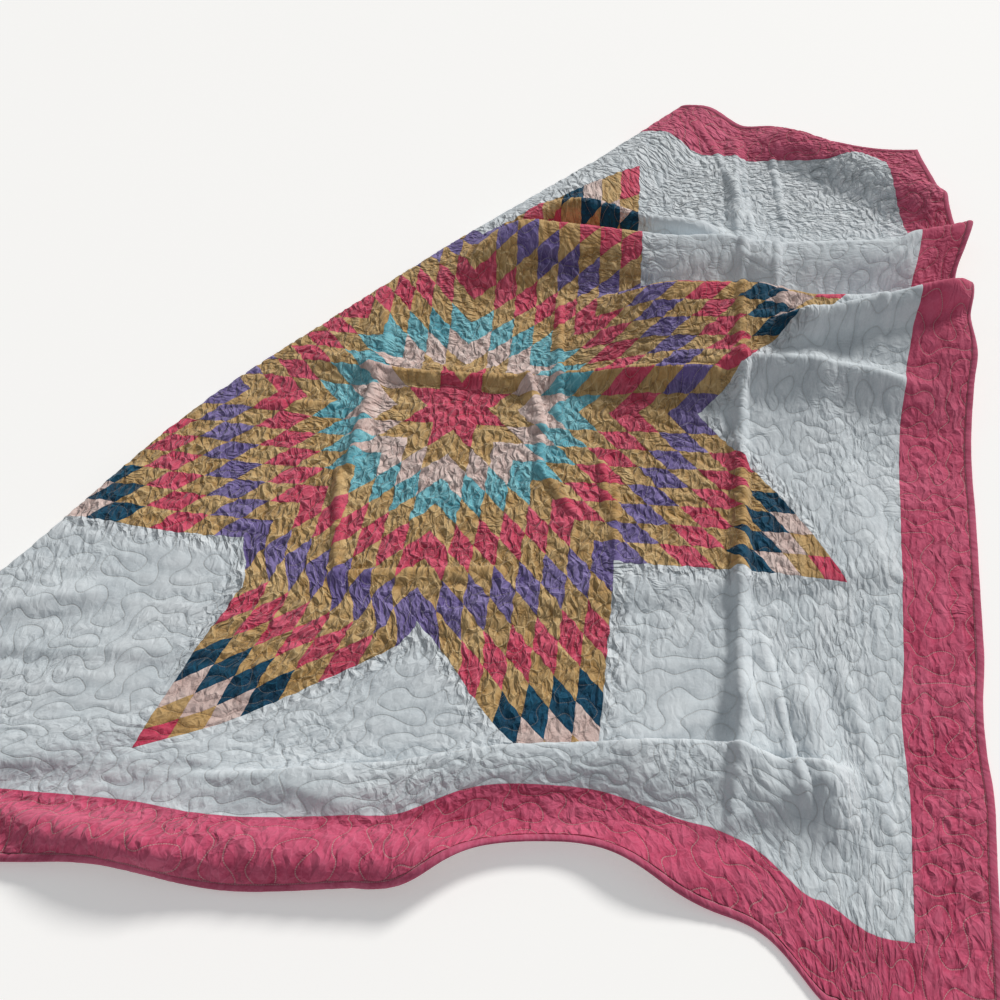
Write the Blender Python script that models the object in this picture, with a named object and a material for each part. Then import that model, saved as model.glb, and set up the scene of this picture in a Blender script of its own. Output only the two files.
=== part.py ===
import bmesh
import bpy
import numpy as np
from math import pi

# A bed quilt laid out on a flat surface, its far left corner turned under.
# Lengths are in metres, X to the right, Y away and Z up from the surface.
# The flat cloth is centred on the middle of its star.
FIELD = 0.800
BORDER = 0.100
BINDING = 0.012
HALF = FIELD + BORDER + BINDING
THICK = 0.005
SEAM_GAP = 0.0003
AIR = 0.0035
# Sets the laid quilt's box centrally over the origin
PLACE_X, PLACE_Y = 0.0064, -0.0012

# The fold of the far left corner, as a line in the flat cloth.
# Columns: share of its length, how far the fold bows out in mm, radius of its soft roll in mm
TURN_START = (-912, -770)
TURN_END = (345, 912)
TURN = (
    (0.00, -10, 11),
    (0.25, 22, 13),
    (0.40, 66, 12),
    (0.58, 50, 18),
    (0.72, 24, 24),
    (0.88, -4, 16),
    (1.00, -14, 11),
)
ROLL_RUN = 0.220
STEP_RUN = 0.050

# Laps, where the near band lies over the far one, in mm of the flat cloth.
# Columns: name, one end x y, other end x y, depth, run-out at one end and at the other
LAPS = (
    ("front", -344, -738, 801, -534, 42, 688, 497),
)
LAP_TURN = 0.018
LAP_FALL = 0.160

# Gathers, cloth eased in its own plane, in mm where the laps leave it.
# Columns: name, one end x y, other end x y, width, drawn in at one end and at the other, run-out
GATHERS = (
    ("front", 960, -605, -960, -810, 400, 57, 13, 100),
    ("front middle", 356, -640, -520, -640, 260, 66, 14, 240),
    ("front left side", -173, -660, -1000, -660, 260, 30, 52, 240),
    ("right", 623, 420, 686, -960, 500, 18, 185, 100),
    ("right of the star", 242, -560, 477, 460, 320, 7, 22, 200),
    ("front left corner", -86, -960, 79, -440, 420, -111, 37, 100),
    ("far right corner", 560, 780, 1000, 780, 260, 21, 104, 160),
    ("far right side", 760, 1000, 760, 480, 300, 82, -15, 100),
    ("right edge", 850, 640, 850, 170, 110, 24, 24, 120),
)

# Ridges, in mm where the cloth lies.
# Columns: name, one end x y, other end x y, bow, height, near width, far width, run-out,
# share of the ridge's extra length drawn in from beyond it
RIDGES = (
    ("back", -60, 376, 960, 482, 10, 50, 142, 50, 160, 0.5),
    ("behind the back", 0, 488, 430, 512, 4, 42, 46, 32, 140, 0.5),
    ("second", 260, 242, 930, 277, -10, 74, 330, 70, 300, 0.5),
    ("second tip", 545, 160, 850, 255, 0, 34, 50, 26, 100, 0.5),
    ("third", 300, 70, 760, 70, 22, 14, 70, 40, 180, 0.5),
    ("middle", -380, 95, 300, 70, -6, 12, 50, 28, 160, 0.5),
    ("far right wave", 560, 815, 900, 560, 14, 37, 110, 60, 160, 0.4),
    ("front wave", 378, -717, -421, -771, 16, 35, 74, 62, 400, 1.0),
    ("right pleat", 480, 150, 470, -540, 4, 10, 24, 20, 160, 1.0),
    ("knee", 476, -440, 486, -590, 0, 14, 45, 45, 120, 0.5),
    ("knee side", 540, -450, 570, -620, 10, 14, 50, 40, 120, 0.5),
    ("far crease", 480, 770, 486, 500, 0, 10, 24, 24, 80, 0.5),
    ("left crease", -184, 336, -144, -208, 12, 8, 30, 30, 120, 0.5),
    ("front left", -880, -689, -200, -769, 0, 13, 36, 28, 160, 0.5),
)

# Mesh: coarsest cell, how far a facet may leave the cloth, and the smallest cell
CELL = 0.100
SAG = 0.0020
FINEST = 0.004
PASSES = 6


def smooth(t):
    t = np.clip(t, 0, 1)
    return t * t * t * (10 - 15 * t + 6 * t * t)


def along(a, b, x0, y0, x1, y1, bow=0):
    """Distance along a bowed line and to its left, its length and its direction."""
    dx, dy = (x1 - x0) / 1000, (y1 - y0) / 1000
    size = (dx * dx + dy * dy) ** 0.5
    dx, dy = dx / size, dy / size
    q = (a - x0 / 1000) * dx + (b - y0 / 1000) * dy
    s = -(a - x0 / 1000) * dy + (b - y0 / 1000) * dx
    t = np.clip(q / size, 0, 1)
    return q, s - 4 * bow / 1000 * t * (1 - t), size, dx, dy


def ends(q, size, run):
    return smooth(q / run + 0.5) * smooth((size - q) / run + 0.5)


def lapped(x, y, z, free):
    """Each lap turns the cloth back over itself and forward again."""
    for name, x0, y0, x1, y1, depth, first, last in LAPS:
        q, s, size, dx, dy = along(x, y, x0, y0, x1, y1)
        s = -s
        amount = 2 * smooth(q / first * 1000) * smooth((size - q) / last * 1000) * free
        angle = pi * np.clip(amount, 0.001, 1)
        mid = depth / 1000 * smooth(amount - 1)
        r = LAP_TURN / angle
        one = np.clip(s, 0, LAP_TURN) / r
        flat = np.clip(s - LAP_TURN, 0, mid)
        two = angle - np.clip(s - LAP_TURN - mid, 0, LAP_TURN) / r
        rest = np.clip(s - 2 * LAP_TURN - mid, 0, None)
        out = np.minimum(s, 0) + rest + flat * np.cos(angle)
        out = out + r * (np.sin(one) + np.sin(angle) - np.sin(two))
        up = r * (1 - np.cos(one) + np.cos(two) - np.cos(angle)) + flat * np.sin(angle)
        x, y = x - dy * (s - out), y + dx * (s - out)
        z = z + up * (1 - smooth(rest / LAP_FALL))
    return x, y, z


def gathered(x, y, free):
    """Each gather draws in the cloth on the left of its line."""
    for name, x0, y0, x1, y1, width, first, last, run in GATHERS:
        q, s, size, dx, dy = along(x, y, x0, y0, x1, y1)
        back = (first + (last - first) * np.clip(q / size, 0, 1)) / 1000 * free
        back = back * ends(q, size, run / 1000) * smooth(s / width * 1000 + 0.5)
        x, y = x + dy * back, y - dx * back
    return x, y


def ridged(x, y, z, free):
    """Each ridge raises the cloth and draws in what is beyond it."""
    for name, x0, y0, x1, y1, bow, height, near, far, run, drawn in RIDGES:
        q, s, size, dx, dy = along(x, y, x0, y0, x1, y1, bow)
        fade = ends(q, size, run / 1000) * free
        back = 0
        for side, wide in ((-s, near / 1000), (s, far / 1000)):
            h = height / 1000 * fade
            k = (pi * h / 2 / wide) ** 2 / 2
            u = np.clip(side, 0, wide)
            part = k * (u / 2 - wide / 4 / pi * np.sin(2 * pi * u / wide))
            back = back + (part if side is s else k * wide / 2 - part)
            z = z + np.where(side > 0, h * np.cos(pi / 2 * u / wide) ** 2, 0)
        back = back * drawn
        x, y = x + dy * back, y - dx * back
    return x, y, z


def column(t, rows, k):
    """A smooth curve through column k of the rows, at t."""
    at = np.array([row[0] for row in rows], float)
    v = np.array([row[k] for row in rows], float)
    slope = np.gradient(v, at)
    i = np.clip(np.searchsorted(at, t, side="right") - 1, 0, len(at) - 2)
    h = at[i + 1] - at[i]
    w = np.clip((t - at[i]) / h, 0, 1)
    start = v[i] * (1 + 2 * w) * (1 - w) ** 2 + slope[i] * h * w * (1 - w) ** 2
    return start + v[i + 1] * w * w * (3 - 2 * w) + slope[i + 1] * h * w * w * (w - 1)


def under_layer(x, y):
    """How high the turned-under corner lifts the cloth that lies on it."""
    q, s, size, dx, dy = along(x, y, *TURN_START, *TURN_END)
    bow = column(q / size, TURN, 1) / 1000
    s = s - bow
    fx = TURN_START[0] / 1000 + q * dx - bow * dy
    fy = TURN_START[1] / 1000 + q * dy + bow * dx
    outside = np.maximum(-s * dy - HALF - fx, fy - HALF - s * dx)
    return (THICK + AIR) * (1 - smooth((outside - 0.020) / STEP_RUN))


def middle(a, b):
    """Where the middle of the cloth's thickness lies at the flat point (a, b)."""
    q, s, size, dx, dy = along(a, b, *TURN_START, *TURN_END)
    nx, ny = -dy, dx
    bow = column(q / size, TURN, 1) / 1000
    r = column(q / size, TURN, 2) / 1000
    s = s - bow
    reach = pi * r / 2
    turn = np.clip(s / r + pi / 2, 0, pi)
    under = np.clip(s - reach, 0, None)
    over = np.clip(-s - reach, 0, None)
    fx = TURN_START[0] / 1000 + q * dx + bow * nx
    fy = TURN_START[1] / 1000 + q * dy + bow * ny
    z = np.where(s < -reach, 2 * r * (1 - smooth(over / ROLL_RUN)), r * (1 + np.cos(turn)))
    out = np.where(s < -reach, s, -reach + r * np.sin(turn) - under)
    free = smooth(over / 0.10)
    x, y, z = lapped(fx + out * nx, fy + out * ny, z, free)
    x, y = gathered(x, y, smooth(over / 0.35))
    x, y, z = ridged(x, y, z, free)
    level = under_layer(x, y) * smooth(over / ROLL_RUN)
    return x + PLACE_X, y + PLACE_Y, THICK / 2 + z + level


def lay(a, b, w):
    """Where the point w above the underside at the flat point (a, b) lies."""
    e = 2e-4
    ax, ay, az = (p - m for p, m in zip(middle(a + e, b), middle(a - e, b)))
    bx, by, bz = (p - m for p, m in zip(middle(a, b + e), middle(a, b - e)))
    n = np.array((ay * bz - az * by, az * bx - ax * bz, ax * by - ay * bx))
    n /= np.linalg.norm(n, axis=0)
    return np.array(middle(a, b)) + (w - THICK / 2) * n


def flat_cloth():
    """The whole flat quilt, cut along its seams and into cells as fine as its folds need."""
    bm = bmesh.new()
    bmesh.ops.create_grid(bm, x_segments=1, y_segments=1, size=HALF)
    seams = [-HALF + BINDING, HALF - BINDING, -FIELD, FIELD]
    cells = int(round(2 * FIELD / CELL))
    lines = seams + [-FIELD + 2 * FIELD * i / cells for i in range(1, cells)]
    for at in lines:
        for axis in (0, 1):
            co, no = [0, 0, 0], [0, 0, 0]
            co[axis], no[axis] = at, 1
            bmesh.ops.bisect_plane(bm, geom=bm.verts[:] + bm.edges[:] + bm.faces[:], plane_co=co, plane_no=no)
    inner = HALF - BINDING
    for sx in (-1, 1):
        for sy in (-1, 1):
            corner = [f for f in bm.faces if f.calc_center_median().x * sx > inner and f.calc_center_median().y * sy > inner]
            parts = {p for f in corner for p in [f, *f.edges, *f.verts]}
            bmesh.ops.bisect_plane(bm, geom=list(parts), plane_co=(sx * HALF, sy * HALF, 0), plane_no=(sx, -sy, 0))
    bmesh.ops.remove_doubles(bm, verts=bm.verts[:], dist=1e-5)
    bmesh.ops.triangulate(bm, faces=bm.faces[:])
    for _ in range(PASSES):
        edges = [e for e in bm.edges if e.calc_length() > 2 * FINEST]
        ends_a = np.array([e.verts[0].co[:2] for e in edges]).T
        ends_b = np.array([e.verts[1].co[:2] for e in edges]).T
        pa, pb = (np.array(middle(*p)) for p in (ends_a, ends_b))
        worst = np.zeros(len(edges))
        for share in (0.25, 0.5, 0.75):
            real = np.array(middle(*(ends_a + share * (ends_b - ends_a))))
            worst = np.maximum(worst, np.linalg.norm(real - pa - share * (pb - pa), axis=0))
        chosen = [e for e, w in zip(edges, worst) if w > SAG]
        if not chosen:
            break
        bmesh.ops.subdivide_edges(bm, edges=chosen, cuts=1)
        bmesh.ops.triangulate(bm, faces=bm.faces[:], ngon_method="BEAUTY", quad_method="BEAUTY")
    return bm


def in_from_seams(bm):
    """Draws the rim in by half the seam gap, save where it is the quilt's own edge."""
    move = {}
    for edge in bm.edges:
        if len(edge.link_faces) != 1:
            continue
        p, q = (v.co.copy() for v in edge.verts)
        if any(abs(abs(p[k]) - HALF) < 1e-6 and abs(p[k] - q[k]) < 1e-6 for k in (0, 1)):
            normal = (q - p) * 0
        else:
            along_edge = (q - p).normalized()
            normal = edge.link_faces[0].calc_center_median() - p
            normal -= along_edge * normal.dot(along_edge)
            normal.normalize()
        for v in edge.verts:
            move.setdefault(v, []).append(normal)
    for v, normals in move.items():
        total = sum(normals, normals[0] * 0)
        if total.length > 0:
            reach = max(n.dot(total) for n in normals)
            v.co += total / reach * SEAM_GAP / 2


def piece(whole, name, holds, colour):
    """The cells whose middle passes holds(x, y), given thickness and laid in place."""
    bm = whole.copy()
    others = [f for f in bm.faces if not holds(*f.calc_center_median()[:2])]
    bmesh.ops.delete(bm, geom=others, context="FACES")
    in_from_seams(bm)
    bmesh.ops.recalc_face_normals(bm, faces=bm.faces[:])
    if bm.faces[:][0].normal.z < 0:
        bmesh.ops.reverse_faces(bm, faces=bm.faces[:])
    grown = bmesh.ops.extrude_face_region(bm, geom=bm.faces[:])
    for part in grown["geom"]:
        if isinstance(part, bmesh.types.BMVert):
            part.co.z = THICK
    bmesh.ops.recalc_face_normals(bm, faces=bm.faces[:])
    # Each wall is split the same way as its neighbour's across the seam
    for face in [f for f in bm.faces if len(f.verts) == 4]:
        corners = sorted(face.verts, key=lambda v: (v.co.x * 0.7 + v.co.y, v.co.z))
        bmesh.utils.face_split(face, corners[0], corners[3])
    flat = np.array([v.co for v in bm.verts]).T
    for v, co in zip(bm.verts, lay(*flat).T):
        v.co = co
    if bm.calc_volume(signed=True) < 0:
        bmesh.ops.reverse_faces(bm, faces=bm.faces[:])
    mesh = bpy.data.meshes.new(name)
    bm.to_mesh(mesh)
    bm.free()
    material = bpy.data.materials.new(name)
    material.use_nodes = True
    shader = material.node_tree.nodes["Principled BSDF"]
    shader.inputs["Base Color"].default_value = (*colour, 1)
    shader.inputs["Roughness"].default_value = 0.9
    mesh.materials.append(material)
    obj = bpy.data.objects.new(name, mesh)
    quilt.objects.link(obj)
    return obj


for old in list(bpy.data.objects):
    bpy.data.objects.remove(old)
quilt = bpy.data.collections.new("star quilt")
bpy.context.scene.collection.children.link(quilt)

PINK = (0.62, 0.09, 0.16)
MAUVE = (0.55, 0.20, 0.30)
WHITE = (0.62, 0.66, 0.67)
INNER = HALF - BINDING
cloth = flat_cloth()
piece(cloth, "quilted_centre", lambda x, y: max(abs(x), abs(y)) < FIELD, WHITE)
piece(cloth, "border_far", lambda x, y: FIELD < y < INNER and abs(x) < INNER, PINK)
piece(cloth, "border_near", lambda x, y: -INNER < y < -FIELD and abs(x) < INNER, PINK)
piece(cloth, "border_left", lambda x, y: -INNER < x < -FIELD and abs(y) < FIELD, PINK)
piece(cloth, "border_right", lambda x, y: FIELD < x < INNER and abs(y) < FIELD, PINK)
piece(cloth, "binding_far", lambda x, y: y > INNER and y > abs(x), MAUVE)
piece(cloth, "binding_near", lambda x, y: -y > INNER and -y > abs(x), MAUVE)
piece(cloth, "binding_left", lambda x, y: -x > INNER and -x > abs(y), MAUVE)
piece(cloth, "binding_right", lambda x, y: x > INNER and x > abs(y), MAUVE)
cloth.free()
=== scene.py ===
from math import cos, pi, sin

import bmesh
import bpy
import numpy as np
from mathutils import Matrix, Vector
from mathutils.kdtree import KDTree


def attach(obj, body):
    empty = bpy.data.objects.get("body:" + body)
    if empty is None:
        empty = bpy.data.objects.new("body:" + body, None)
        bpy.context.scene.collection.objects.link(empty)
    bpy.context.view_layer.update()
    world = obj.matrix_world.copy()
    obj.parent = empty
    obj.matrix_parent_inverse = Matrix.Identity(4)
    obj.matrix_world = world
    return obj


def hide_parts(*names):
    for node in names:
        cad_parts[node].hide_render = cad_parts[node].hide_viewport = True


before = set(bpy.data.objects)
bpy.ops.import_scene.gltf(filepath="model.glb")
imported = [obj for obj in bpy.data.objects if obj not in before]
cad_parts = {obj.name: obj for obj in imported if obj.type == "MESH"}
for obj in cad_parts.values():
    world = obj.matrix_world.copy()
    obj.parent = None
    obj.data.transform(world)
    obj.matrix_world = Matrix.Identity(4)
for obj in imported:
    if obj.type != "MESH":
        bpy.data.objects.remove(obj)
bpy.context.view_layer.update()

# The star. Eight large diamonds meet in the middle, each pieced from sixty-four small
# cotton diamonds in rows of one colour. They are seamed by machine, and the whole top
# is quilted through thin wadding and a backing with one meandering line of stitches.

# The flat quilt in metres, measured from the middle of its star. AIR is left under the
# cloth where it lies on the corner, PLACE moves the laid quilt to the middle of its box, and
# CELL is the size of a plain piece's mesh cells
FIELD = 0.800
BORDER = 0.100
BINDING = 0.012
HALF = FIELD + BORDER + BINDING
THICK = 0.005
AIR = 0.0035
PLACE_X, PLACE_Y = 0.0064, -0.0012
SMALL = 0.0508
ROWS = 8
LARGE = ROWS * SMALL
CROSS = sin(pi / 4)
NOTCH = LARGE * CROSS
TIP = LARGE + NOTCH
CELL = 0.0032

# The fold of the far left corner, as a line in the flat cloth.
# Columns: share of its length, how far the fold bows out in mm, radius of its soft roll in mm
TURN_START = (-912, -770)
TURN_END = (345, 912)
TURN = (
    (0.00, -10, 11),
    (0.25, 22, 13),
    (0.40, 66, 12),
    (0.58, 50, 18),
    (0.72, 24, 24),
    (0.88, -4, 16),
    (1.00, -14, 11),
)
# How far from the fold the cloth is level again, how far the sheet over the corner runs down
# beyond its edge and where that starts, and how far from the fold it may gather and ridge
ROLL_RUN = 0.220
STEP_RUN = 0.050
STEP_START = 0.020
GATHER_RUN = 0.35
RIDGE_RUN = 0.10

# Laps, where the near band lies over the far one, in mm of the flat cloth.
# Columns: name, one end x y, other end x y, depth, run-out at one end and at the other
LAPS = (
    ("front", -344, -738, 801, -534, 42, 688, 497),
)
# The length of each turn of a lap, and over which the near band comes down again
LAP_TURN = 0.018
LAP_FALL = 0.160

# Gathers, cloth eased in its own plane, in mm where the laps leave it.
# Columns: name, one end x y, other end x y, width, drawn in at one end and at the other, run-out
GATHERS = (
    ("front", 960, -605, -960, -810, 400, 57, 13, 100),
    ("front middle", 356, -640, -520, -640, 260, 66, 14, 240),
    ("front left side", -173, -660, -1000, -660, 260, 30, 52, 240),
    ("right", 623, 420, 686, -960, 500, 18, 185, 100),
    ("right of the star", 242, -560, 477, 460, 320, 7, 22, 200),
    ("front left corner", -86, -960, 79, -440, 420, -111, 37, 100),
    ("far right corner", 560, 780, 1000, 780, 260, 21, 104, 160),
    ("far right side", 760, 1000, 760, 480, 300, 82, -15, 100),
    ("right edge", 850, 640, 850, 170, 110, 24, 24, 120),
)

# Ridges, in mm where the cloth lies.
# Columns: name, one end x y, other end x y, bow, height, near width, far width, run-out,
# share of the ridge's extra length drawn in from beyond it
RIDGES = (
    ("back", -60, 376, 960, 482, 10, 50, 142, 50, 160, 0.5),
    ("behind the back", 0, 488, 430, 512, 4, 42, 46, 32, 140, 0.5),
    ("second", 260, 242, 930, 277, -10, 74, 330, 70, 300, 0.5),
    ("second tip", 545, 160, 850, 255, 0, 34, 50, 26, 100, 0.5),
    ("third", 300, 70, 760, 70, 22, 14, 70, 40, 180, 0.5),
    ("middle", -380, 95, 300, 70, -6, 12, 50, 28, 160, 0.5),
    ("far right wave", 560, 815, 900, 560, 14, 37, 110, 60, 160, 0.4),
    ("front wave", 378, -717, -421, -771, 16, 35, 74, 62, 400, 1.0),
    ("right pleat", 480, 150, 470, -540, 4, 10, 24, 20, 160, 1.0),
    ("knee", 476, -440, 486, -590, 0, 14, 45, 45, 120, 0.5),
    ("knee side", 540, -450, 570, -620, 10, 14, 50, 40, 120, 0.5),
    ("far crease", 480, 770, 486, 500, 0, 10, 24, 24, 80, 0.5),
    ("left crease", -184, 336, -144, -208, 12, 8, 30, 30, 120, 0.5),
    ("front left", -880, -689, -200, -769, 0, 13, 36, 28, 160, 0.5),
)


def smooth(t):
    t = np.clip(t, 0, 1)
    return t * t * t * (10 - 15 * t + 6 * t * t)


def along(a, b, x0, y0, x1, y1, bow=0):
    """Distance along a bowed line and to its left, its length and its direction."""
    dx, dy = (x1 - x0) / 1000, (y1 - y0) / 1000
    size = (dx * dx + dy * dy) ** 0.5
    dx, dy = dx / size, dy / size
    q = (a - x0 / 1000) * dx + (b - y0 / 1000) * dy
    s = -(a - x0 / 1000) * dy + (b - y0 / 1000) * dx
    t = np.clip(q / size, 0, 1)
    return q, s - 4 * bow / 1000 * t * (1 - t), size, dx, dy


def ends(q, size, run):
    return smooth(q / run + 0.5) * smooth((size - q) / run + 0.5)


def lapped(x, y, z, free):
    """Each lap turns the cloth back over itself and forward again."""
    for name, x0, y0, x1, y1, depth, first, last in LAPS:
        q, s, size, dx, dy = along(x, y, x0, y0, x1, y1)
        s = -s
        amount = 2 * smooth(q / first * 1000) * smooth((size - q) / last * 1000) * free
        angle = pi * np.clip(amount, 0.001, 1)
        mid = depth / 1000 * smooth(amount - 1)
        r = LAP_TURN / angle
        one = np.clip(s, 0, LAP_TURN) / r
        flat = np.clip(s - LAP_TURN, 0, mid)
        two = angle - np.clip(s - LAP_TURN - mid, 0, LAP_TURN) / r
        rest = np.clip(s - 2 * LAP_TURN - mid, 0, None)
        out = np.minimum(s, 0) + rest + flat * np.cos(angle)
        out = out + r * (np.sin(one) + np.sin(angle) - np.sin(two))
        up = r * (1 - np.cos(one) + np.cos(two) - np.cos(angle)) + flat * np.sin(angle)
        x, y = x - dy * (s - out), y + dx * (s - out)
        z = z + up * (1 - smooth(rest / LAP_FALL))
    return x, y, z


def gathered(x, y, free):
    """Each gather draws in the cloth on the left of its line."""
    for name, x0, y0, x1, y1, width, first, last, run in GATHERS:
        q, s, size, dx, dy = along(x, y, x0, y0, x1, y1)
        back = (first + (last - first) * np.clip(q / size, 0, 1)) / 1000 * free
        back = back * ends(q, size, run / 1000) * smooth(s / width * 1000 + 0.5)
        x, y = x + dy * back, y - dx * back
    return x, y


def ridged(x, y, z, free):
    """Each ridge raises the cloth and draws in what is beyond it."""
    for name, x0, y0, x1, y1, bow, height, near, far, run, drawn in RIDGES:
        q, s, size, dx, dy = along(x, y, x0, y0, x1, y1, bow)
        fade = ends(q, size, run / 1000) * free
        back = 0
        for side, wide in ((-s, near / 1000), (s, far / 1000)):
            h = height / 1000 * fade
            k = (pi * h / 2 / wide) ** 2 / 2
            u = np.clip(side, 0, wide)
            part = k * (u / 2 - wide / 4 / pi * np.sin(2 * pi * u / wide))
            back = back + (part if side is s else k * wide / 2 - part)
            z = z + np.where(side > 0, h * np.cos(pi / 2 * u / wide) ** 2, 0)
        back = back * drawn
        x, y = x + dy * back, y - dx * back
    return x, y, z


def column(t, rows, k):
    """A smooth curve through column k of the rows, at t."""
    at = np.array([row[0] for row in rows], float)
    v = np.array([row[k] for row in rows], float)
    slope = np.gradient(v, at)
    i = np.clip(np.searchsorted(at, t, side="right") - 1, 0, len(at) - 2)
    h = at[i + 1] - at[i]
    w = np.clip((t - at[i]) / h, 0, 1)
    start = v[i] * (1 + 2 * w) * (1 - w) ** 2 + slope[i] * h * w * (1 - w) ** 2
    return start + v[i + 1] * w * w * (3 - 2 * w) + slope[i + 1] * h * w * w * (w - 1)


def under_layer(x, y):
    """How high the turned-under corner lifts the cloth that lies on it."""
    q, s, size, dx, dy = along(x, y, *TURN_START, *TURN_END)
    bow = column(q / size, TURN, 1) / 1000
    s = s - bow
    fx = TURN_START[0] / 1000 + q * dx - bow * dy
    fy = TURN_START[1] / 1000 + q * dy + bow * dx
    outside = np.maximum(-s * dy - HALF - fx, fy - HALF - s * dx)
    return (THICK + AIR) * (1 - smooth((outside - STEP_START) / STEP_RUN))


def middle(a, b):
    """Where the middle of the cloth's thickness lies at the flat point (a, b)."""
    q, s, size, dx, dy = along(a, b, *TURN_START, *TURN_END)
    nx, ny = -dy, dx
    bow = column(q / size, TURN, 1) / 1000
    r = column(q / size, TURN, 2) / 1000
    s = s - bow
    reach = pi * r / 2
    turn = np.clip(s / r + pi / 2, 0, pi)
    under = np.clip(s - reach, 0, None)
    over = np.clip(-s - reach, 0, None)
    fx = TURN_START[0] / 1000 + q * dx + bow * nx
    fy = TURN_START[1] / 1000 + q * dy + bow * ny
    z = np.where(s < -reach, 2 * r * (1 - smooth(over / ROLL_RUN)), r * (1 + np.cos(turn)))
    out = np.where(s < -reach, s, -reach + r * np.sin(turn) - under)
    free = smooth(over / RIDGE_RUN)
    x, y, z = lapped(fx + out * nx, fy + out * ny, z, free)
    x, y = gathered(x, y, smooth(over / GATHER_RUN))
    x, y, z = ridged(x, y, z, free)
    z = z + creased(x, y) * free
    level = under_layer(x, y) * smooth(over / ROLL_RUN)
    return x + PLACE_X, y + PLACE_Y, THICK / 2 + z + level


# Sharp creases on top of the ridges, in mm where the cloth lies.
# Columns: one end x y, other end x y, bow, height, width to the right and to the left of the
# line, run-out
CREASES = (
    (-40, 378, 940, 480, 10, 12, 60, 14, 120),
    (300, 244, 900, 275, -10, 8, 50, 14, 160),
    (20, 489, 410, 511, 4, 6, 24, 10, 100),
    (570, 168, 830, 248, 0, 4, 16, 12, 80),
    (-160, 67, 135, 62, -4, 9, 28, 8, 24),
    (-105, 34, 10, 31, 0, 4, 12, 7, 40),
    (125, 64, 163, -48, 4, 14, 24, 8, 16),
    (160, -56, 166, -130, 0, 8, 12, 8, 24),
    (162, -120, 224, -204, 0, 8, 10, 12, 30),
    (-136, 52, -142, -156, -4, 11, 11, 18, 30),
    (162, 266, 187, -24, 0, 9, 16, 8, 60),
    (262, -100, 278, -196, 0, 8, 10, 8, 30),
    (-124, -346, 132, -316, 0, 7, 22, 8, 40),
    (174, 70, 440, 65, 0, 9, 28, 8, 24),
    (410, 76, 740, 72, 16, 6, 26, 10, 60),
    (-440, -32, -200, -16, 0, 6, 16, 12, 80),
    (-184, 336, -136, 80, 8, 9, 12, 16, 80),
    (-160, -150, -118, -344, 0, 9, 10, 14, 60),
    (284, -140, 296, -300, 0, 8, 11, 9, 50),
    (487, 780, 484, 478, 0, 5, 7, 12, 50),
    (499, 770, 514, 480, 0, 6, 11, 7, 50),
    (562, 730, 577, 526, 0, 6, 8, 9, 50),
    (486, 440, 474, 196, 3, 7, 8, 14, 50),
    (474, 210, 478, -20, 0, 6, 8, 14, 50),
    (548, 440, 540, 150, 0, 5, 8, 12, 60),
    (390, 860, 500, 530, 12, 6, 9, 16, 80),
    (478, -30, 472, -280, 4, 6, 10, 14, 80),
    (470, -264, 453, -650, 6, 8, 10, 16, 50),
    (500, -390, 541, -616, 0, 9, 26, 9, 50),
    (600, -430, 640, -640, 6, 6, 20, 12, 70),
    (316, -580, 500, -472, 0, 7, 24, 40, 70),
    (417, -664, 572, -584, 0, 6, 20, 30, 60),
    (704, 256, 696, 136, 0, 5, 12, 12, 50),
    (-580, -676, -220, -642, 0, 6, 26, 70, 120),
    (-250, -640, 10, -686, 0, 5, 22, 60, 100),
    (-610, -452, -460, -410, 0, 8, 30, 30, 120),
    (-620, -516, -270, -490, 0, 4, 16, 40, 200),
)


def creased(x, y):
    """The height that the sharp creases add."""
    total = 0 * x
    for x0, y0, x1, y1, bow, height, right, left, run in CREASES:
        q, s, size, dx, dy = along(x, y, x0, y0, x1, y1, bow)
        fall = np.clip(1 - abs(s) * 1000 / np.where(s < 0, right, left), 0, 1)
        total += height / 1000 * ends(q, size, run / 1000) * fall
    return total


# How far to each side of a point its slope is read, and how near it may come to the floor
SLOPE_STEP = 0.0002
FLOOR_GAP = 0.0002


def lay(a, b, w):
    """Where the point w above the underside at the flat point (a, b) lies."""
    e = SLOPE_STEP
    ax, ay, az = (p - m for p, m in zip(middle(a + e, b), middle(a - e, b)))
    bx, by, bz = (p - m for p, m in zip(middle(a, b + e), middle(a, b - e)))
    n = np.array((ay * bz - az * by, az * bx - ax * bz, ax * by - ay * bx))
    n /= np.linalg.norm(n, axis=0)
    place = np.array(middle(a, b)) + (w - THICK / 2) * n
    place[2] = np.maximum(place[2], FLOOR_GAP)
    return place


def hills(x, y, size, seed):
    """Soft random hills and hollows of this size in mm, from about -1 to 1."""
    turn = 2 * pi * np.random.RandomState(seed).rand(256, 256)
    u, v = x * 1000 / size, y * 1000 / size
    i, j = np.floor(u).astype(int), np.floor(v).astype(int)
    total = 0
    for di in (0, 1):
        for dj in (0, 1):
            angle = turn[(i + di) % 256, (j + dj) % 256]
            du, dv = u - i - di, v - j - dj
            slope = np.cos(angle) * du + np.sin(angle) * dv
            total += slope * smooth(1 - abs(du)) * smooth(1 - abs(dv))
    return 1.5 * total


def crinkles(x, y, size, stretch, lean, seed):
    """Sharp little creases, long for their width, whose way changes slowly over the cloth."""
    way = lean + 1.1 * hills(x, y, 150, seed)
    # Creases that run in six ways are mixed by how near each is to the way here
    total, weight = 0, 1e-6
    for n in range(6):
        turn = pi * n / 6
        share = np.cos(way - turn) ** 8
        u, v = x * cos(turn) + y * sin(turn), y * cos(turn) - x * sin(turn)
        total += share * (1 - 2.4 * abs(hills(u / stretch, v, size, seed + n + 1)))
        weight += share
    return total / weight


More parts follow.
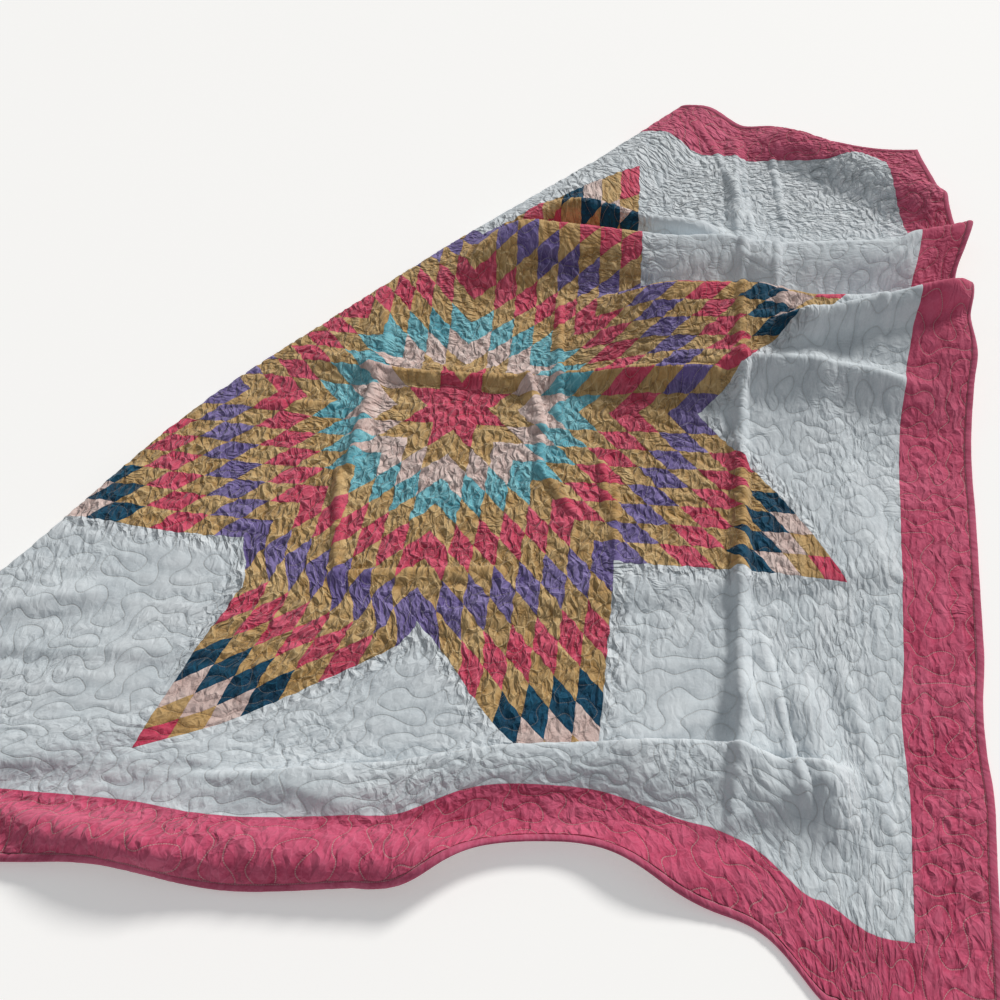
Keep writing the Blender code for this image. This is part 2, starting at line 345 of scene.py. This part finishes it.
# The quilting line: how far apart its loops are, how round they are, the step between its
# points, the length over which its corners are rounded, and how often a branch turns aside
LOOP = 0.051
SWELL = 0.23
STITCH_STEP = 0.002
ROUNDING = 0.005
TURN_ASIDE = 0.6
# How it wanders. Columns: size in mm, how far in m, seed
WANDER = (
    (80, 0.012, 21),
    (42, 0.007, 22),
)


def random_tree(n, rng):
    """A tree of short crooked branches that fills n by n cells, as the ways that are open from each."""
    ways = ((1, 0), (0, 1), (-1, 0), (0, -1))
    joined = {(n // 2, n // 2): set()}
    waiting = [((n // 2, n // 2), k) for k in range(4)]
    while waiting:
        cell, k = waiting.pop(rng.randint(len(waiting)))
        there = (cell[0] + ways[k][0], cell[1] + ways[k][1])
        if there in joined or min(there) < 0 or max(there) >= n:
            continue
        if (k + 2) % 4 in joined[cell] and rng.rand() < TURN_ASIDE:
            waiting.append((cell, k))
            continue
        joined[cell].add(k)
        joined[there] = {(k + 2) % 4}
        waiting += [(there, m) for m in range(4)]
    return ways, joined


def meander():
    """The quilting line, as points about 2 mm apart: it runs once round a random tree, in round loops."""
    n = int(2 * HALF / LOOP)
    ways, joined = random_tree(n, np.random.RandomState(4))
    links = {}
    for (i, j), open_sides in joined.items():
        corners = ((2 * i + 1, 2 * j), (2 * i + 1, 2 * j + 1), (2 * i, 2 * j + 1), (2 * i, 2 * j))
        for k in range(4):
            first, second = corners[k], corners[(k + 1) % 4]
            pairs = [(first, second)] if k not in open_sides else []
            if k in open_sides and k < 2:
                pairs = [(p, (p[0] + ways[k][0], p[1] + ways[k][1])) for p in (first, second)]
            for p, q in pairs:
                links.setdefault(p, []).append(q)
                links.setdefault(q, []).append(p)
    path = [(0, 0), links[(0, 0)][0]]
    while path[-1] != path[0]:
        path.append([p for p in links[path[-1]] if p != path[-2]][0])
    here, ahead = np.array(path[:-1], float), np.array(path[1:], float)
    # Each stretch bows out round its own cell, or in towards the neck between two cells
    bow = (here + ahead) / 2 - (here // 2 + ahead // 2) - 0.5
    bow *= SWELL / abs(bow).max(axis=1)[:, None]
    bow[(here // 2 != ahead // 2).any(axis=1)] *= -1
    t = np.arange(int(HALF / n / STITCH_STEP)) * STITCH_STEP * n / HALF
    line = here[:, None] + (ahead - here)[:, None] * t[:, None] + bow[:, None] * (4 * t * (1 - t))[:, None]
    line = ((line.reshape(-1, 2) + 0.5) / n * HALF - HALF).T
    kernel = np.exp(-0.5 * (np.arange(-9, 10) * STITCH_STEP / ROUNDING) ** 2)
    wrapped = np.concatenate([line[:, -9:], line, line[:, :9]], axis=1)
    line = np.array([np.convolve(part, kernel / kernel.sum(), "valid") for part in wrapped])
    for size, amount, seed in WANDER:
        line = line + amount * np.array([hills(*line, size, seed), hills(*line, size, seed + 10)])
    return line


stitch_line = meander()
stitch_way = np.roll(stitch_line, -1, axis=1) - np.roll(stitch_line, 1, axis=1)
stitch_way /= np.linalg.norm(stitch_way, axis=0)
stitch_run = np.cumsum(np.linalg.norm(stitch_line - np.roll(stitch_line, 1, axis=1), axis=0))
stitch_tree = KDTree(stitch_line.shape[1])
for number, (px, py) in enumerate(stitch_line.T):
    stitch_tree.insert((px, py, 0), number)
stitch_tree.balance()


def quilting(a, b):
    """How far each flat point is from the quilting line, more than 0 to its left, and along it, in mm."""
    found = np.array([stitch_tree.find((x, y, 0))[1] for x, y in zip(a.tolist(), b.tolist())])
    dx, dy = a - stitch_line[0, found], b - stitch_line[1, found]
    tx, ty = stitch_way[:, found]
    return 1000 * (tx * dy - ty * dx), 1000 * (stitch_run[found] + tx * dx + ty * dy)


def shrunk(a, b):
    """How much the wash has shrunk the cloth, from 0 to 1: most in the star and at the far side."""
    low, high = np.minimum(abs(a), abs(b)), np.maximum(abs(a), abs(b))
    outside = np.maximum(low - NOTCH, (high - low - LARGE) * CROSS)
    # The star's crumples end 40 mm outside it, and grow less towards its tips
    star = (1 - smooth(outside / 0.04)) * smooth((0.94 - np.hypot(a, 1.1 * b - 0.10)) / 0.46)
    far = 0.75 * smooth((b - 0.50) / 0.14)
    # The border is crumpled most at the near left
    near_left = smooth((-0.5 - b) / 0.2) * smooth((0.2 - a) / 0.4)
    border = smooth((high - FIELD) / 0.01) * (0.18 + 0.27 * near_left)
    most = np.maximum(np.maximum(star, far), border)
    wash = np.clip(0.13 + 0.87 * most + 0.2 * hills(a, b, 160, 7), 0, 1)
    # The sides of a sharp crease are pulled smooth
    x, y, _ = middle(a, b)
    return wash * (1 - 0.55 * smooth(creased(x - PLACE_X, y - PLACE_Y) / 0.006))


def relief(a, b, seam, away, run, wash, ditch):
    """How far the quilted top stands above its mean height. Heights and distances are in mm."""
    near = abs(away)
    # The wadding swells 7 mm out from the stitches, which draw in a groove about 2 mm wide
    puff = 0.7 * (1 - np.exp(-((near / 7) ** 2))) - 0.6 * np.exp(-((near / 1.9) ** 2))
    # Puckers 9 mm apart run out from them
    pucker = np.sin(2 * pi * (run / 9 + 0.8 * hills(a, b, 30, 31)))
    pucker = 0.45 * pucker * np.exp(-near / 7) * (1 - np.exp(-near / 2))
    # Wash creases 10 and 24 mm wide, upright over most of the quilt and level near the front
    lean = pi / 2 * smooth((b + 0.55) / 0.25) + 0.5 * a
    fine = crinkles(a, b, 10, 2.6, lean, 41)
    coarse = crinkles(a, b, 24, 2.0, lean + 0.6, 61)
    crease = (0.04 + 1.36 * wash) * fine + (0.08 + 0.82 * wash) * coarse
    crease = crease * (1 - 0.5 * np.exp(-((near / 2) ** 2)))
    # Slack cloth in soft hills, with long wrinkles down the right side and across the near left
    slack = 0.7 * hills(a, b, 80, 81)
    right = smooth((a - 0.40) / 0.25) * smooth((-0.05 - b) / 0.30)
    near_left = smooth((-0.10 - a) / 0.25) * smooth((-0.15 - b) / 0.25)
    slack = slack + 1.0 * hills(3 * a, 0.4 * b, 40, 83) * right
    slack = slack + 0.8 * hills(0.4 * a, 2 * b, 45, 84) * near_left
    return puff + (0.4 + 0.6 * wash) * pucker + crease + slack - ditch * np.exp(-((seam / 1.8) ** 2))


def linear(colour):
    """An sRGB hex colour in linear light."""
    parts = [int(colour[k : k + 2], 16) / 255 for k in (1, 3, 5)]
    return [p / 12.92 if p <= 0.04045 else ((p + 0.055) / 1.055) ** 2.4 for p in parts] + [1]


def add(tree, kind, inputs, out=0, **settings):
    """A shader node with its settings, its inputs set or linked, and the output that is used."""
    node = tree.nodes.new("ShaderNode" + kind)
    for key, value in settings.items():
        setattr(node, key, value)
    for key, value in inputs.items():
        if isinstance(value, bpy.types.NodeSocket):
            tree.links.new(value, node.inputs[key])
        else:
            node.inputs[key].default_value = value
    return node.outputs[out]


# What a cotton reads from its piece, in mm but for the wash
MARKS = ("stitch_away", "stitch_run", "height", "seam", "wash")
# The thread, 0.3 mm thick and drawn 0.9 mm so that it shows, the length of its stitches in mm
# and the share of it between two
THREAD = "#E6DDD2"
STITCH = 2.6
STITCH_GAP = 0.2
# The weave, 0.3 mm, is too fine to show. Its unevenness is drawn as faint bands this far apart
# in mm, both ways. A wave texture's bands are 2 pi / 20 apart
BAND = 8.843


def cotton(name, deep, mid, light, painted_shade, thread=0.35, patched=False):
    """Plain-woven quilting cotton, washed: matt, with painted highlight on its raised parts and crests and
    painted shade in its hollows, grooves and seams, its colour uneven from dyeing.
    """
    material = bpy.data.materials.new(name)
    material.use_nodes = True
    tree = material.node_tree
    shader = tree.nodes["Principled BSDF"]
    flat = add(tree, "UVMap", {}, uv_map="cloth")
    read = (add(tree, "Attribute", {}, "Fac", attribute_name=mark) for mark in MARKS)
    away, run, height, seam, wash = read
    near = add(tree, "Math", {0: away}, operation="ABSOLUTE")

    # Wash creases, whose lines wander by up to 7 mm. Their sizes are in mm
    wander = {"Vector": flat, "Scale": 1000 / 26, "Detail": 1.0}
    warp = add(tree, "TexNoise", wander, 1, noise_dimensions="2D")
    warped = add(tree, "VectorMath", {0: warp, 1: (0.014, 0.014, 0), 2: flat}, operation="MULTIPLY_ADD")

    def facets(across, up, lean):
        """A net of crumpled facets, as the distance to its lines."""
        turned = add(tree, "VectorRotate", {"Vector": warped, "Angle": lean}, rotation_type="Z_AXIS")
        sizes = (1000 / across, 1000 / up, 1)
        sized = add(tree, "VectorMath", {0: turned, 1: sizes}, operation="MULTIPLY")
        net = {"feature": "DISTANCE_TO_EDGE", "voronoi_dimensions": "2D"}
        return add(tree, "TexVoronoi", {"Vector": sized, "Scale": 1.0}, "Distance", **net)

    def folds(across, up):
        """Winding folds, as the height beside their lines."""
        sizes = (1000 / across, 1000 / up, 1)
        sized = add(tree, "VectorMath", {0: warped, 1: sizes}, operation="MULTIPLY")
        cloudy = {"Vector": sized, "Scale": 1.0, "Detail": 1.2}
        noise = add(tree, "TexNoise", cloudy, noise_dimensions="2D")
        centred = add(tree, "Math", {0: noise, 1: 0.5}, operation="SUBTRACT")
        return add(tree, "Math", {0: centred}, operation="ABSOLUTE")

    # Facets over most of the quilt, and level folds towards the far side
    up = add(tree, "SeparateXYZ", {0: flat}, 1)
    way = add(tree, "TexNoise", {"Vector": flat, "Scale": 1000 / 90, "Detail": 1.0}, noise_dimensions="2D")
    way = add(tree, "Math", {0: up, 1: 0.3, 2: way}, operation="MULTIPLY_ADD")
    way = add(tree, "MapRange", {0: way, 1: 0.56, 2: 0.70}, interpolation_type="SMOOTHSTEP")
    level = add(tree, "Math", {0: folds(30, 9), 1: 1.6}, operation="MULTIPLY")
    ridge = add(tree, "Mix", {0: way, 2: facets(12, 30, 0.15), 3: level})
    hollow = facets(17, 38, -0.4)

    # Fading in clouds about 40 mm across, slubs about 3 mm long, and puckers 5 mm apart,
    # which run out at right angles from the needle line
    cloud = add(tree, "TexNoise", {"Vector": flat, "Scale": 1000 / 40, "Detail": 3.0})
    slub = add(tree, "TexNoise", {"Vector": flat, "Scale": 1000 / 3, "Detail": 2.0})
    beside = add(tree, "CombineXYZ", {"X": run, "Y": away})
    beside = add(tree, "VectorMath", {0: beside, 1: (1 / 5, 1 / 16, 1)}, operation="MULTIPLY")
    pucker = add(tree, "TexNoise", {"Vector": beside, "Scale": 1.0, "Detail": 1.0})
    pucker = add(tree, "Math", {0: pucker, 1: 0.5}, operation="SUBTRACT")
    pucker = add(tree, "Math", {0: pucker}, operation="ABSOLUTE")

    # How far each shows, or its height in mm, from one value of what it follows to another.
    # Columns: name, what it follows, first value, last value, how much at the first and at the last
    shows = {}
    for label, follows, low, high, first, last in (
        ("cloud", cloud, 0.3, 0.7, 0.0, 1.0),
        # Painted light: cloth that stands higher is painted lighter, so lower cloth looks shaded
        ("painted light by height", height, -0.8, 2.2, 0.0, 0.55),
        ("slub", slub, 0.35, 0.75, 0.0, 0.25),
        # Painted shade: the hollows of the crumples are painted darker
        ("painted valley shade", hollow, 0.0, 0.08, 0.45, 0.0),
        # Painted highlight: thin lines along the crests are painted lighter
        ("painted crest highlight", ridge, 0.0, 0.07, 0.8, 0.0),
        # Painted shade along the needle line and along the seams
        ("needle shade", near, 0.2, 1.4, 0.30, 0.0),
        ("seam shade", seam, 0.1, 0.8, 0.12, 0.0),
        ("thread", near, 0.35, 0.9, 1.0, 0.0),
        ("pucker height", near, 1.0, 12.0, -4.0, 0.0),
        ("needle height", near, 0.0, 1.5, -0.6, 0.0),
        ("seam height", seam, 0.0, 1.2, -0.12, 0.0),
    ):
        spans = {0: follows, 1: low, 2: high, 3: first, 4: last}
        shows[label] = add(tree, "MapRange", spans, interpolation_type="SMOOTHSTEP")
    stitch = add(tree, "Math", {0: run, 1: STITCH}, operation="DIVIDE")
    stitch = add(tree, "Math", {0: stitch}, operation="FRACT")
    stitch = add(tree, "Math", {0: stitch, 1: STITCH_GAP}, operation="GREATER_THAN")
    bands = {"Vector": flat, "Scale": 1000 * 2 * pi / 20 / BAND}
    weave = (add(tree, "TexWave", bands, 1, bands_direction=axis) for axis in "XY")
    # Products. Columns: name, its two factors
    for label, one, other in (
        ("painted valley shade", shows["painted valley shade"], wash),
        ("painted crest highlight", shows["painted crest highlight"], wash),
        ("sewn", stitch, shows["thread"]),
        ("pucker", pucker, shows["pucker height"]),
        ("weave", *weave),
    ):
        shows[label] = add(tree, "Math", {0: one, 1: other}, operation="MULTIPLY")
    shows["stitches"] = add(tree, "Math", {0: shows["sewn"], 1: thread}, operation="MULTIPLY")

    # Painted light and shade: raised cloth and crest lines are painted lighter, and valleys, the needle line
    # and seams are painted darker as if in shade. Each patch differs a little in tone
    layers = [("painted light by height", light), ("slub", light)]
    if patched:
        patch = add(tree, "UVMap", {}, uv_map="patch")
        patch = add(tree, "VectorMath", {0: patch}, operation="FLOOR")
        chance = add(tree, "TexWhiteNoise", {"Vector": patch}, noise_dimensions="3D")
        shows["patch"] = add(tree, "Math", {0: chance, 1: 0.30}, operation="MULTIPLY")
        layers.append(("patch", deep))
    layers += [("painted valley shade", painted_shade), ("painted crest highlight", light), ("needle shade", painted_shade), ("seam shade", painted_shade)]
    layers.append(("stitches", THREAD))
    colour = add(tree, "Mix", {0: shows["cloud"], 6: linear(deep), 7: linear(mid)}, 2, data_type="RGBA")
    for label, over in layers:
        colour = add(tree, "Mix", {0: shows[label], 6: colour, 7: linear(over)}, 2, data_type="RGBA")
    tree.links.new(colour, shader.inputs["Base Color"])

    # Heights in mm: the creases with smaller ones 6 mm apart, which need wash, then the rest
    total = shows["pucker"]
    for part, amount in ((ridge, -11.0), (hollow, 9.0), (folds(6, 10), -4.0)):
        total = add(tree, "Math", {0: part, 1: amount, 2: total}, operation="MULTIPLY_ADD")
    washed = add(tree, "Math", {0: wash, 1: 0.92, 2: 0.08}, operation="MULTIPLY_ADD")
    total = add(tree, "Math", {0: total, 1: washed}, operation="MULTIPLY")
    for label, amount in (("weave", 0.05), ("needle height", 1.0), ("sewn", 0.3), ("seam height", 1.0)):
        total = add(tree, "Math", {0: shows[label], 1: amount, 2: total}, operation="MULTIPLY_ADD")
    bump = add(tree, "Bump", {"Height": total, "Distance": 0.001, "Strength": 1.0})
    tree.links.new(bump, shader.inputs["Normal"])
    for label, value in (
        ("Roughness", 0.88),
        ("Specular IOR Level", 0.2),
        ("Sheen Weight", 0.12),
        ("Sheen Roughness", 0.5),
    ):
        shader.inputs[label].default_value = value
    return material


def mesh_of(name, bm):
    """The finished bmesh as a mesh, and the places of its points."""
    mesh = bpy.data.meshes.new(name)
    bm.to_mesh(mesh)
    bm.free()
    spot = np.empty(3 * len(mesh.vertices))
    mesh.vertices.foreach_get("co", spot)
    return mesh, spot.reshape(-1, 3).T


def laid_piece(mesh, maps, marks, place, materials):
    """A piece from its mesh: its flat maps, the marks that its cotton reads, and where it lies."""
    corners = np.empty(len(mesh.loops), np.int32)
    mesh.loops.foreach_get("vertex_index", corners)
    for label, flat in maps.items():
        mesh.uv_layers.new(name=label).data.foreach_set("uv", np.array(flat).T[corners].ravel())
    for label, values in zip(MARKS, marks):
        mesh.attributes.new(label, "FLOAT", "POINT").data.foreach_set("value", values)
    mesh.vertices.foreach_set("co", place.T.ravel())
    mesh.polygons.foreach_set("use_smooth", [True] * len(mesh.polygons))
    for material in materials:
        mesh.materials.append(material)
    mesh.update()
    piece = bpy.data.objects.new(mesh.name, mesh)
    bpy.context.scene.collection.objects.link(piece)
    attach(piece, "root")
    return piece


# How far the hem of each patch goes down and in, how far the wash pulls the seams about in
# the cloth's own plane, and over what size in mm
HEM_DEPTH = 0.0030
HEM_IN = 0.0002
PULL = 0.0027
PULL_SIZE = 15


def patch_of(name, cells, to_flat, seam_of, materials, ditch, colour_of=None, corner=False):
    """A patch of the top, from a grid of cells over (0..1, 0..1), its hem turned down along its rim."""
    bm = bmesh.new()
    bmesh.ops.create_grid(bm, x_segments=cells[0], y_segments=cells[1], size=0.5)
    bmesh.ops.translate(bm, verts=bm.verts[:], vec=(0.5, 0.5, 0))
    if corner:
        cut = {"plane_co": (1, 0, 0), "plane_no": (1, 1, 0), "clear_outer": True}
        bmesh.ops.bisect_plane(bm, geom=bm.verts[:] + bm.edges[:] + bm.faces[:], **cut)
    rim = [edge for edge in bm.edges if edge.is_boundary]
    for edge in rim:
        edge.smooth = False
    for part in bmesh.ops.extrude_edge_only(bm, edges=rim)["geom"]:
        if isinstance(part, bmesh.types.BMVert):
            part.co.z = -1
    mesh, (p, q, hem) = mesh_of(name, bm)
    a, b = to_flat(p, q)
    maps = {"cloth": (a, b)}
    if colour_of:
        centres = np.empty(3 * len(mesh.polygons))
        mesh.polygons.foreach_get("center", centres)
        cp, cq, _ = centres.reshape(-1, 3).T
        mesh.polygons.foreach_set("material_index", colour_of(cp, cq).astype(np.int32))
        maps["patch"] = (ROWS * p, ROWS * q)
    seam = seam_of(p, q)
    away, run = quilting(a, b)
    wash = shrunk(a, b)
    height = relief(a, b, seam, away, run, wash, ditch)
    towards = np.array([a.mean() - a, b.mean() - b])
    towards *= HEM_IN * (hem < 0) / (np.linalg.norm(towards, axis=0) + 1e-9)
    pull = PULL * wash * np.array([hills(a, b, PULL_SIZE, 101), hills(a, b, PULL_SIZE, 102)])
    level = THICK + height / 1000 + HEM_DEPTH * hem
    place = lay(a + towards[0] + pull[0], b + towards[1] + pull[1], level)
    return laid_piece(mesh, maps, (away, run, height, seam, wash), place, materials)


# One cotton for each colour: deep, mid, light, and the painted shade of its grooves, seams and hollows
gold = cotton("gold_cotton", "#A37A42", "#C49B60", "#E2C796", "#7C5A2E", thread=0.12, patched=True)
red = cotton("red_cotton", "#B42546", "#D63B5E", "#EE7A92", "#8C1C3A", thread=0.2, patched=True)
pale_pink = cotton("pale_pink_cotton", "#C2A49E", "#DDC2BB", "#F0E0DA", "#98807B", thread=0.12, patched=True)
turquoise = cotton("turquoise_cotton", "#4097AB", "#65B5C5", "#9ED8E0", "#2F7284", thread=0.2, patched=True)
purple = cotton("purple_cotton", "#4E3F7C", "#705FA0", "#A094C6", "#372C5C", thread=0.25, patched=True)
teal = cotton("dark_teal_cotton", "#042A42", "#084060", "#1E6482", "#031E30", thread=0.15, patched=True)
STAR_COTTONS = [gold, red, pale_pink, turquoise, purple, teal]
# The colour of each row, counted from the star's middle
ROW_COTTONS = [
    red, gold, pale_pink, turquoise, gold, red, gold, purple,
    gold, red, gold, teal, pale_pink, gold, red,
]
row_index = np.array([STAR_COTTONS.index(material) for material in ROW_COTTONS])
# Mesh cells across a small diamond, and the depth in mm of the ditch along its seams
CELLS_A_ROW = 16
STAR_DITCH = 0.15


def diamond_seam(p, q):
    """The distance in mm to the nearest seam between small diamonds."""
    across = np.minimum(abs(ROWS * p - np.round(ROWS * p)), abs(ROWS * q - np.round(ROWS * q)))
    return 1000 * SMALL * CROSS * across


def diamond_colour(p, q):
    row = np.clip(np.floor(ROWS * p), 0, ROWS - 1) + np.clip(np.floor(ROWS * q), 0, ROWS - 1)
    return row_index[row.astype(int)]


for k in range(8):
    first = (cos(k * pi / 4), sin(k * pi / 4))
    second = (cos((k + 1) * pi / 4), sin((k + 1) * pi / 4))

    def to_flat(p, q):
        return LARGE * (p * first[0] + q * second[0]), LARGE * (p * first[1] + q * second[1])

    cells = (ROWS * CELLS_A_ROW, ROWS * CELLS_A_ROW)
    name = f"star_point_{k + 1}"
    point = patch_of(name, cells, to_flat, diamond_seam, STAR_COTTONS, STAR_DITCH, diamond_colour)
    if k == 0:
        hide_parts("quilted_centre")

# The white ground. Four squares and four triangles are set in between the star's points,
# and four strips frame them. They are plain white cotton, seamed to the star and each other.
white = cotton("white_cotton", "#BCC6CD", "#CED8DE", "#EAEFF3", "#919DA6", thread=0.25)
PLAIN_DITCH = 0.1


def quarter(k):
    """The ways across and up, turned by k quarters."""
    turn = pi / 2 * k
    return (round(cos(turn)), round(sin(turn))), (-round(sin(turn)), round(cos(turn)))


def rim_distance(width, length):
    """The distance in mm to the rim of a piece of this size."""

    def seam_of(p, q):
        return 1000 * np.minimum(width * np.minimum(p, 1 - p), length * np.minimum(q, 1 - q))

    return seam_of


def triangle_seam(p, q):
    return 1000 * LARGE * np.minimum(np.minimum(p, q), (1 - p - q) * CROSS)


for k in range(4):
    u, v = quarter(k)

    def to_flat(p, q):
        x, y = NOTCH + LARGE * p, NOTCH + LARGE * q
        return x * u[0] + y * v[0], x * u[1] + y * v[1]

    cells = (int(LARGE / CELL), int(LARGE / CELL))
    name = f"ground_square_{k + 1}"
    square = patch_of(name, cells, to_flat, rim_distance(LARGE, LARGE), [white], PLAIN_DITCH)

    def to_flat(p, q):
        x, y = LARGE + (p + q) * LARGE * CROSS, (q - p) * LARGE * CROSS
        return x * u[0] + y * v[0], x * u[1] + y * v[1]

    name = f"ground_triangle_{k + 1}"
    triangle = patch_of(name, cells, to_flat, triangle_seam, [white], PLAIN_DITCH, corner=True)


def strip_of(name, x0, x1, y0, y1, material):
    """A straight strip of the top between two x and two y."""
    width, length = x1 - x0, y1 - y0

    def to_flat(p, q):
        return x0 + width * p, y0 + length * q

    cells = (round(width / CELL), round(length / CELL))
    strip = patch_of(name, cells, to_flat, rim_distance(width, length), [material], PLAIN_DITCH)
    return strip


# Columns: side, from x, to x, from y, to y
for name, x0, x1, y0, y1 in (
    ("far", -FIELD, FIELD, TIP, FIELD),
    ("near", -FIELD, FIELD, -FIELD, -TIP),
    ("left", -FIELD, -TIP, -TIP, TIP),
    ("right", TIP, FIELD, -TIP, TIP),
):
    strip_of(f"ground_strip_{name}", x0, x1, y0, y1, white)

# The border. Four strips of pink cotton frame the ground, the far and near ones running
# the full width. They are seamed on flat and quilted with the same meandering line.
INNER = HALF - BINDING
pink = cotton("pink_border_cotton", "#AB3355", "#C7466A", "#DF7593", "#8C2947", thread=0.30)
# Columns: side, from x, to x, from y, to y
for name, x0, x1, y0, y1 in (
    ("far", -INNER, INNER, FIELD, INNER),
    ("near", -INNER, INNER, -INNER, -FIELD),
    ("left", -INNER, -FIELD, -FIELD, FIELD),
    ("right", FIELD, INNER, -FIELD, FIELD),
):
    strip = strip_of(f"border_strip_{name}", x0, x1, y0, y1, pink)
    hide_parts(f"border_{name}")

# The backing. One sheet of plain pale cotton under the wadding, flat on what the quilt
# lies on, quilted with the top and held in the binding at its edge.
# The size of its first mesh cells, the shortest edge that is cut in two, how far the cloth
# may bend away from an edge, and how often the edges are gone through
BACK_CELL = 0.040
BACK_SHORTEST = 0.005
BACK_SAG = 0.0006
BACK_ROUNDS = 6
# It has no seams of its own, so its cotton reads that they are this far off, in mm
FAR_FROM_SEAMS = 20
bm = bmesh.new()
cells = round(2 * INNER / BACK_CELL)
bmesh.ops.create_grid(bm, x_segments=cells, y_segments=cells, size=INNER)
bmesh.ops.triangulate(bm, faces=bm.faces[:])
# An edge is cut in two where the cloth bends away from it by more than the sag
for _ in range(BACK_ROUNDS):
    edges = [edge for edge in bm.edges if edge.calc_length() > BACK_SHORTEST]
    start = np.array([edge.verts[0].co[:2] for edge in edges]).T
    end = np.array([edge.verts[1].co[:2] for edge in edges]).T
    here, there = np.array(middle(*start)), np.array(middle(*end))
    worst = np.zeros(len(edges))
    for share in (0.25, 0.5, 0.75):
        real = np.array(middle(*(start + share * (end - start))))
        worst = np.maximum(worst, np.linalg.norm(real - here - share * (there - here), axis=0))
    chosen = [edge for edge, sag in zip(edges, worst) if sag > BACK_SAG]
    if not chosen:
        break
    bmesh.ops.subdivide_edges(bm, edges=chosen, cuts=1)
    bmesh.ops.triangulate(bm, faces=bm.faces[:])
bmesh.ops.reverse_faces(bm, faces=bm.faces[:])
mesh, (a, b, _) = mesh_of("backing_sheet", bm)
marks = (*quilting(a, b), 0 * a, 0 * a + FAR_FROM_SEAMS, shrunk(a, b))
pale = cotton("backing_cotton", "#BFB1AA", "#D2C6BF", "#E4DBD5", "#948880")
backing = laid_piece(mesh, {"cloth": (a, b)}, marks, lay(a, b, 0 * a), [pale])

# The binding. Four narrow strips of mauve pink cotton, folded over the raw edges and sewn
# down on both sides, mitred where they meet. The stitches draw them into small puckers.
BIND_STEP = 0.0025
# How far from the seam its stitches run, in mm
BIND_SEWN = 1.2
# Round the edge, in mm. Columns: distance out from the seam, height above the underside
BIND_ROUND = (
    (-0.4, 2.0),
    (0.2, 4.0),
    (1.6, 5.2),
    (4.0, 6.0),
    (7.0, 6.0),
    (9.8, 5.4),
    (11.6, 4.2),
    (12.3, 2.6),
    (11.6, 1.0),
    (9.8, 0.2),
    (6.0, 0.0),
    (1.0, 0.0),
)
mauve = cotton("binding_cotton", "#A33A5A", "#C05272", "#DA809C", "#7A2747", thread=0.2)
profile = np.array(BIND_ROUND) / 1000
for k, name in enumerate(("near", "right", "far", "left")):
    u, v = quarter(k)
    bm = bmesh.new()
    around = len(profile) - 1
    bmesh.ops.create_grid(bm, x_segments=round(2 * HALF / BIND_STEP), y_segments=around, size=0.5)
    mesh, (p, q, _) = mesh_of(f"binding_strip_{name}", bm)
    out, rise = profile[np.round((0.5 - q) * around).astype(int)].T
    run = 2 * HALF * (p + 0.5)
    # Puckers 5 and 11 mm apart lift it, and its edge wavers over about 40 mm
    pucker = hills(run, 0 * run + 0.3 * k, 5, 91) + 0.6 * hills(run, 0 * run + k, 11, 92)
    rise = rise + 0.00045 * pucker * smooth(rise / 0.004)
    out = out + 0.0004 * hills(run, 0 * run + k, 40, 93) * smooth(out / 0.01)
    x, y = 2 * (INNER + out) * p, -INNER - out
    a, b = x * u[0] + y * v[0], x * u[1] + y * v[1]
    seam = 1000 * abs(out)
    marks = (seam - BIND_SEWN, 1000 * run, pucker, seam, 0 * run)
    strip = laid_piece(mesh, {"cloth": (run, out + rise)}, marks, lay(a, b, rise), [mauve])
    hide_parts(f"binding_{name}")

# The room. A plain pale matt floor that glows a little, low soft sun from behind on the
# right, which rakes over the creases, an even pale sky, and the camera above the near edge.
FLOOR_REACH = 12
FLOOR_DROP = 0.0006
floor_paint = bpy.data.materials.new("pale_floor")
floor_paint.use_nodes = True
for label, value in (
    ("Base Color", linear("#F4F4F3")),
    ("Emission Color", linear("#FFFFFF")),
    ("Emission Strength", 0.25),
    ("Roughness", 0.9),
):
    floor_paint.node_tree.nodes["Principled BSDF"].inputs[label].default_value = value
bm = bmesh.new()
bmesh.ops.create_grid(bm, x_segments=1, y_segments=1, size=FLOOR_REACH)
bmesh.ops.translate(bm, verts=bm.verts[:], vec=(0, 0, -FLOOR_DROP))
mesh, _ = mesh_of("floor", bm)
mesh.materials.append(floor_paint)
floor = bpy.data.objects.new("floor", mesh)
bpy.context.scene.collection.objects.link(floor)

window = bpy.data.lights.new("window", "SUN")
window.energy = 2.9
window.angle = 0.20
window.color = (1.0, 0.97, 0.93)
lamp = bpy.data.objects.new("window", window)
lamp.rotation_euler = Vector((-0.50, -0.72, -0.48)).to_track_quat("-Z", "Y").to_euler()
bpy.context.scene.collection.objects.link(lamp)

world = bpy.data.worlds.new("soft_room")
world.use_nodes = True
sky = world.node_tree.nodes["Background"]
sky.inputs["Color"].default_value = linear("#F4F6F8")
sky.inputs["Strength"].default_value = 0.32
bpy.context.scene.world = world

bpy.context.scene.view_settings.view_transform = "Standard"

camera_data = bpy.data.cameras.new("camera")
camera_data.lens = 31.7
camera_data.sensor_width = 36
camera_data.shift_y = 0.002
camera = bpy.data.objects.new("camera", camera_data)
camera.location = (0.3067, -0.9820, 1.1230)
# The ways to its right, down and ahead
right = Vector((0.98830, 0.13251, -0.07552))
down = Vector((0.06373, -0.80864, -0.58484))
ahead = Vector((-0.13856, 0.57318, -0.80763))
camera.rotation_euler = Matrix((right, -down, -ahead)).transposed().to_euler()
bpy.context.scene.collection.objects.link(camera)
bpy.context.scene.camera = camera
